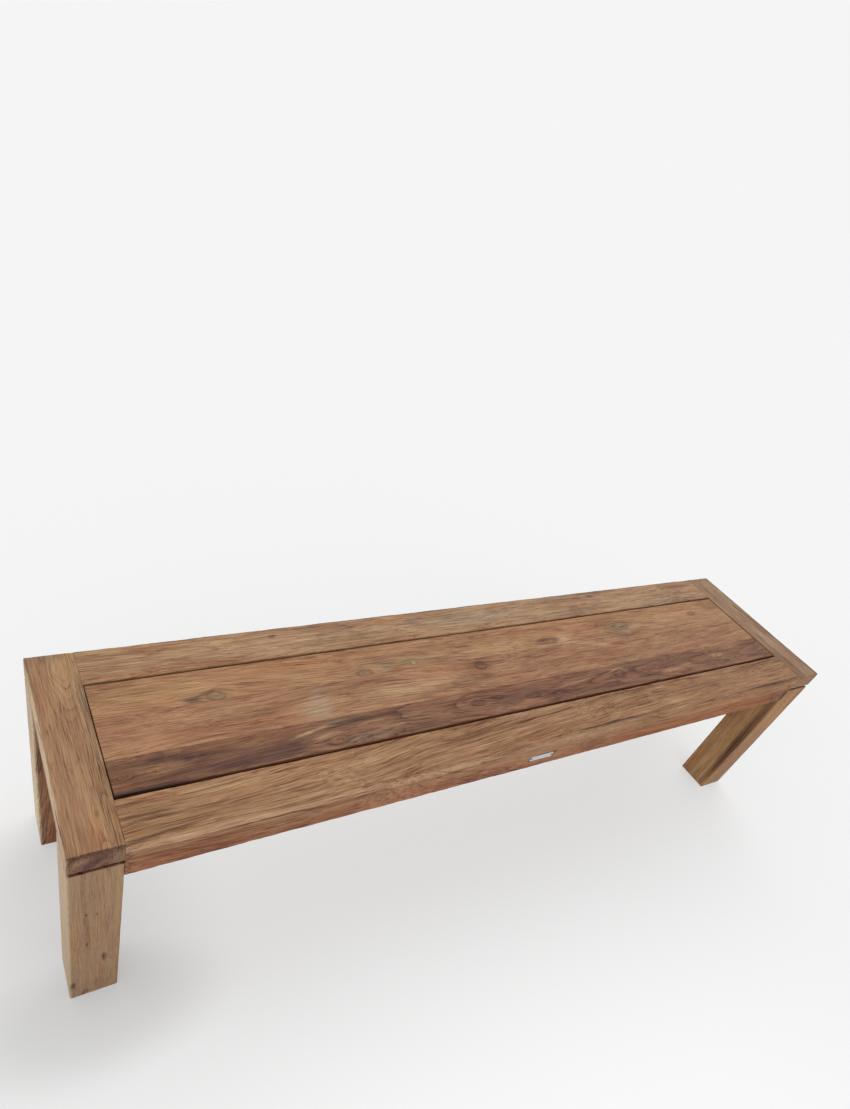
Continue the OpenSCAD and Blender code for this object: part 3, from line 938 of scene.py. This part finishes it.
LOOKS["stave_middle"] = dict(
    seed=61, body=(157, 115, 86), pith=(-0.06, -0.07), ring=0.005, rings=0.22, slant=0.02,
    bends=[(-380, 60, -28)], warm=0.25, sway=0.03,
    patches={"top": [
        (-445, -22, 34, 28, "grey", 0.5), (-425, 12, 26, 26, "grey", 0.35),
        (-230, -10, 120, 22, "pale", 0.45), (-140, 18, 80, 9, "rust", 0.45, -0.3),
        (-52, 15, 40, 34, "red", 0.5), (-50, -12, 16, 8, "brown", 0.7), (-120, -42, 14, 5, "red", 0.7),
        (-137, -20, 9, 4, "brown", 0.7), (115, 28, 22, 12, "pale", 0.6),
        (310, 18, 60, 6, "pale", 0.6, -0.25), (330, -40, 34, 10, "olive", 0.5),
        (300, -10, 150, 25, "rust", 0.35), (400, 33, 40, 7, "ash", 0.5), (-365, 0, 9, 4, "brown", 0.7),
        (-395, 32, 16, 4, "brown", 0.6), (-650, -20, 140, 10, "rust", 0.25), (-720, 20, 100, 8, "tan", 0.4),
        (550, 10, 160, 12, "tan", 0.35), (640, -30, 140, 9, "red", 0.4),
    ]},
    knots={"top": [
        (-50, 16, 13, 10, "brown", "umber", 0.85), (-42, 38, 9, 5, "red", "umber", 0.7),
        (316, 32, 13, 6, "brown", "umber", 0.6),
    ]},
)
LOOKS["stave_front"] = dict(
    seed=71, body=(130, 92, 70), pith=(0.0, -0.07), slope=(0.0, 0.05), bow=0.02, ring=0.0055, rings=0.42,
    sway=0.05, warm=0.4, warm_colour="red", cool=0.4, cool_colour="plum", light=0.35,
    light_colour="tan", end_body=(84, 60, 50),
    lines={"top": [
        (-738, -80, 84, 21, "plum", 0.75), (-752, -82, 60, 13, "tan", 0.6),
        (-756, -82, 42, 8, "brown", 0.6), (-760, -82, 27, 4, "tan", 0.5),
    ]},
    patches={"top": [
        (-785, -55, 60, 10, "brown", 0.5), (-770, -113, 90, 5, "black", 0.85),
        (-700, -68, 90, 8, "plum", 0.8, -0.08), (-600, -97, 130, 14, "plum", 0.9),
        (-590, -105, 100, 7, "black", 0.5), (-560, -60, 120, 9, "red", 0.4),
        (-520, -88, 44, 14, "umber", 0.7), (-470, -66, 50, 3, "pale", 0.6, 0.2),
        (-415, -58, 40, 10, "ash", 0.6), (-450, -85, 28, 9, "tan", 0.8), (-375, -102, 60, 9, "ash", 0.6),
        (-330, -75, 70, 12, "tan", 0.4), (-310, -90, 80, 3, "tan", 0.6, 0.08),
        (-290, -66, 30, 6, "umber", 0.5), (-270, -106, 70, 8, "umber", 0.6), (-150, -55, 50, 6, "tan", 0.5),
        (-40, -86, 54, 13, "plum", 0.6), (8, -98, 18, 6, "rust", 0.6), (65, -108, 20, 5, "umber", 0.7),
        (150, -75, 80, 2.5, "tan", 0.6, 0.1), (180, -100, 90, 7, "plum", 0.5),
        (285, -60, 26, 5, "pale", 0.5), (365, -68, 28, 8, "olive", 0.5), (370, -97, 44, 9, "plum", 0.8),
        (440, -94, 34, 5, "tan", 0.7), (495, -101, 14, 5, "plum", 0.8), (500, -87, 20, 6, "tan", 0.6),
        (540, -84, 24, 8, "brown", 0.6), (600, -99, 80, 12, "plum", 0.6), (625, -77, 34, 5, "straw", 0.5),
        (665, -90, 30, 6, "olive", 0.5), (700, -64, 40, 8, "tan", 0.5), (760, -100, 50, 9, "plum", 0.5),
    ]},
    knots={"top": [
        (-800, -84, 18, 8, "brown", "umber", 0.5), (-440, -96, 24, 11, "brown", "umber", 0.6),
        (-117, -78, 15, 7, "umber", "black", 0.65), (-65, -73, 15, 5, "umber", "black", 0.5),
        (20, -86, 18, 6, "umber", "black", 0.6), (285, -77, 16, 9, "brown", "black", 0.7),
        (325, -72, 9, 4, "umber", "black", 0.6),
    ]},
)
LOOKS["leg_front_left"] = dict(
    seed=83, body=(158, 126, 98), pith=(0.10, 0.14), ring=0.0035, rings=0.2, sway=0.012, fine=0.5,
    middle=0.16, broad=0.2, blotch=0.15, stroke=0.05, warm=0.15, light=0.1, cool=0.05,
    # painted light: cream that makes the left face paler
    lines={"left": [(-160, 200, 500, 90, "painted_light_cream", 0.48)]},
    patches={"front": [
        (-828, 300, 140, 3, "straw", 0.6), (-897, 200, 260, 3, "olive", 0.4),
        (-890, 215, 70, 5, "orange", 0.35), (-845, 127, 15, 5, "umber", 0.8),
        (-896, 50, 12, 6, "umber", 0.8), (-875, 11, 9, 9, "brown", 0.8), (-850, 60, 60, 8, "rust", 0.25),
        (-850, 30, 24, 22, "brown", 0.25), (-860, 230, 60, 16, "tan", 0.3), (-822, 60, 70, 4, "brown", 0.4),
    ]},
    holes=[
        (-873, 283, 1.6, 3.0, 2.5), (-857, 278, 1.6, 3.4, 2.5), (-872, 185, 1.5, 4.0, 2.5),
        (-845.5, 129, 2.4, 6.5, 1.4), (-891, 50, 1.8, 3.6, 1.6), (-874, 8, 3.5, 5.0, 1.2),
    ],
)
LOOKS["leg_front_right"] = dict(
    seed=89, body=(160, 122, 88), pith=(-0.03, 0.07), ring=0.006, rings=0.25, sway=0.02, fine=0.8,
    middle=0.25, stroke=0.1, gloss=0.17,
    patches={"left": [
        (-190, 200, 200, 12, "umber", 0.8), (-140, 200, 240, 16, "brown", 0.35),
        (-178, 120, 120, 4, "tan", 0.5), (-130, 60, 60, 7, "rust", 0.4), (-160, 30, 40, 12, "olive", 0.3),
    ], "front": [
        (850, 330, 90, 22, "orange", 0.6), (893, 180, 260, 6, "ash", 0.5), (830, 240, 60, 9, "olive", 0.3),
        (845, 120, 70, 12, "rust", 0.4), (872, 50, 60, 12, "olive", 0.3),
    ]},
)
LOOKS["leg_back_left"] = dict(
    seed=97, body=(148, 108, 81), pith=(-0.06, 0.10), slope=(0.2, 0.0), ring=0.007, rings=0.45, slant=0.12,
    sway=0.03, warm=0.4, warm_colour="red",
    # painted light: cream that makes the left face paler
    lines={"left": [(160, 200, 500, 90, "painted_light_cream", 0.85)]},
    patches={"front": [
        (-896, 200, 260, 5, "olive", 0.5), (-885, 200, 160, 8, "red", 0.6),
        (-880, 130, 60, 4, "umber", 0.6, 0.25), (-868, 120, 150, 6, "brown", 0.5),
        (-878, 25, 40, 10, "red", 0.5),
    ]},
)
LOOKS["leg_back_right"] = dict(
    seed=103, body=(156, 121, 93), pith=(0.08, -0.10), ring=0.006, rings=0.3, sway=0.02,
)
LOOKS["frame_inside"] = dict(
    body=(158, 124, 92), pith=(0.03, 0.1), ring=0.005, rings=0.25, sway=0.012,
)

EXPOSED = 2.4 * MM
SOFT = 1.6 * MM
TIGHT = 0.25 * MM


def arrises(default, **changes):
    """Radius by arris: a change such as left=TIGHT covers the four arrises round that side."""
    sides = {(0, -1): "left", (0, 1): "right", (1, -1): "front", (1, 1): "back"}

    def radius_of(at):
        named = [changes[sides[key]] for key in at.items() if sides.get(key) in changes]
        return min(named) if named else default

    return radius_of


BOARDS = [
    # node, finish, grain, radii
    ("end_board_left", "end_board", "y", arrises(EXPOSED, right=TIGHT)),
    ("end_strip_left", "end_strip", "y", arrises(EXPOSED, left=TIGHT, right=0.7 * MM)),
    ("end_board_right", "end_board", "y", arrises(EXPOSED, left=TIGHT)),
    ("end_strip_right", "end_strip", "y", arrises(EXPOSED, right=TIGHT, left=0.7 * MM)),
    ("front_beam", "front_beam", "x", arrises(EXPOSED, left=TIGHT, right=TIGHT)),
    ("back_beam", "back_beam", "x", arrises(EXPOSED, left=TIGHT, right=TIGHT)),
    ("stave_back", "stave_back", "x", arrises(SOFT, front=TIGHT)),
    ("stave_middle", "stave_middle", "x", arrises(SOFT, front=TIGHT, back=TIGHT)),
    ("stave_front", "stave_front", "x", arrises(SOFT, back=TIGHT)),
    ("leg_front_left", "leg_front", "z", arrises(EXPOSED)),
    ("leg_front_right", "leg_front", "z", arrises(EXPOSED)),
    ("leg_back_left", "leg_back", "z", arrises(EXPOSED)),
    ("leg_back_right", "leg_back", "z", arrises(EXPOSED)),
]

FIRST_INSIDE_SEED = 101
INSIDE = [f"batten_{n}" for n in range(1, 6)] + ["end_rail_left", "end_rail_right"]

END_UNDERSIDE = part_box("end_board_left")[0].z
SHADOW_GAP = 7 * MM
STUB = 36 * MM
PLATE_CORNER = 3 * MM
PLATE_GROOVE = 1.2 * MM         # open groove round the label plate
PEG_HOLE = 5.1 * MM             # its radius


def body_box(node):
    """The box of a board without its hidden tenons and stub."""
    low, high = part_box(node)
    if node.endswith("beam"):
        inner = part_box("end_strip_left")[1].x
        low.x, high.x = inner, -inner
    if node.startswith("leg"):
        high.z = END_UNDERSIDE - SHADOW_GAP
    return low, high


def stub_arrays(low, high):
    """The square stub that carries the end board above a leg."""
    middle = (low + high) / 2
    xs, ys = ([c - STUB / 2, c, c + STUB / 2] for c in (middle.x, middle.y))
    zs = [high.z - 1 * MM, END_UNDERSIDE - SHADOW_GAP / 2, END_UNDERSIDE + 0.5 * MM]
    return shell(np.array(xs), np.array(ys), np.array(zs))


def peg_hole(low, high):
    """A cutter for the hole in a leg's inner face that its tenon peg was driven into."""
    pegs_low, pegs_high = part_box("tenon_pegs")
    side = 1 if low.y > 0 else -1
    end = 1 if low.x > 0 else -1
    x = end * (pegs_high.x - PEG_HOLE)
    z = (pegs_low.z + pegs_high.z) / 2
    inner = low.y if side > 0 else high.y
    start = Vector((x, inner - side * 1 * MM, z))
    return cutter(ring_of_points(PEG_HOLE), 7 * MM, start, (-side * math.pi / 2, 0, 0))


def plate_recess():
    """A cutter for the recess that the label plate lies in, which leaves a thin dark groove round it."""
    plate_low, plate_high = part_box("label_plate")
    size = plate_high - plate_low
    middle = (plate_low + plate_high) / 2
    wide, tall = size.x + 2 * PLATE_GROOVE, size.z + 2 * PLATE_GROOVE
    outline = rounded_outline(wide, tall, PLATE_CORNER + PLATE_GROOVE)
    start = Vector((middle.x, plate_high.y, middle.z))
    return cutter(outline, 5 * MM, start, (math.pi / 2, 0, 0))


def make_board(index, node, finish, grain, radius_of):
    """One board: its mesh, what is cut out of it, and its wood."""
    low, high = body_box(node)
    look = LOOKS[node]
    holes = [[size * MM for size in hole] for hole in look.get("holes", ())]
    board = board_arrays(low, high, "xyz".index(grain), radius_of, index + 1, holes)
    if node.startswith("leg"):
        board = joined(board, stub_arrays(low, high))
    made = new_object("wood_" + node, *board)
    if node.startswith("leg"):
        carve(made, peg_hole(low, high))
    if node == "front_beam":
        carve(made, plate_recess())
    finish_piece(made, node, teak("wood_" + node, (low, high), grain, look))


def dress(node, material, bevel=0.0):
    """Gives a CAD node that stays in view its material, and a small round on its edges."""
    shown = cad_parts[node]
    shown.data.materials.clear()
    shown.data.materials.append(material)
    if bevel:
        soften = shown.modifiers.new("soften", "BEVEL")
        soften.width = bevel
        soften.segments = 2
        soften.limit_method = "ANGLE"
        soften.angle_limit = math.radians(40)


def dress_cad_nodes():
    """Materials for the battens, rails, pins, screws and label plate."""
    for n, node in enumerate(INSIDE):
        look = dict(LOOKS["frame_inside"], seed=FIRST_INSIDE_SEED + 7 * n)
        dress(node, teak("inside_" + node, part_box(node), "y", look), 0.6 * MM)
    pin_wood = turned_wood("pin_wood")
    for node in ("beam_dowels", "tenon_pegs"):
        dress(node, pin_wood)
    steel = brushed_steel("screw_steel", (900, 900, 60), (0.62, 0.62, 0.63), 0.36)
    for node in ("batten_screws", "rail_screws"):
        dress(node, steel)
    dress("label_pins", brushed_steel("blackened_steel", (900, 900, 60), (0.03, 0.028, 0.026), 0.5))
    dress("label_plate", brushed_steel("label_steel", (40, 900, 1400), (0.66, 0.655, 0.64), 0.34), 0.15 * MM)


bpy.context.scene.view_settings.view_transform = "Standard"
add_camera()
add_sky()
for row in SUNS:
    add_sun(*row)
add_floor()
for index, row in enumerate(BOARDS):
    make_board(index, *row)
dress_cad_nodes()
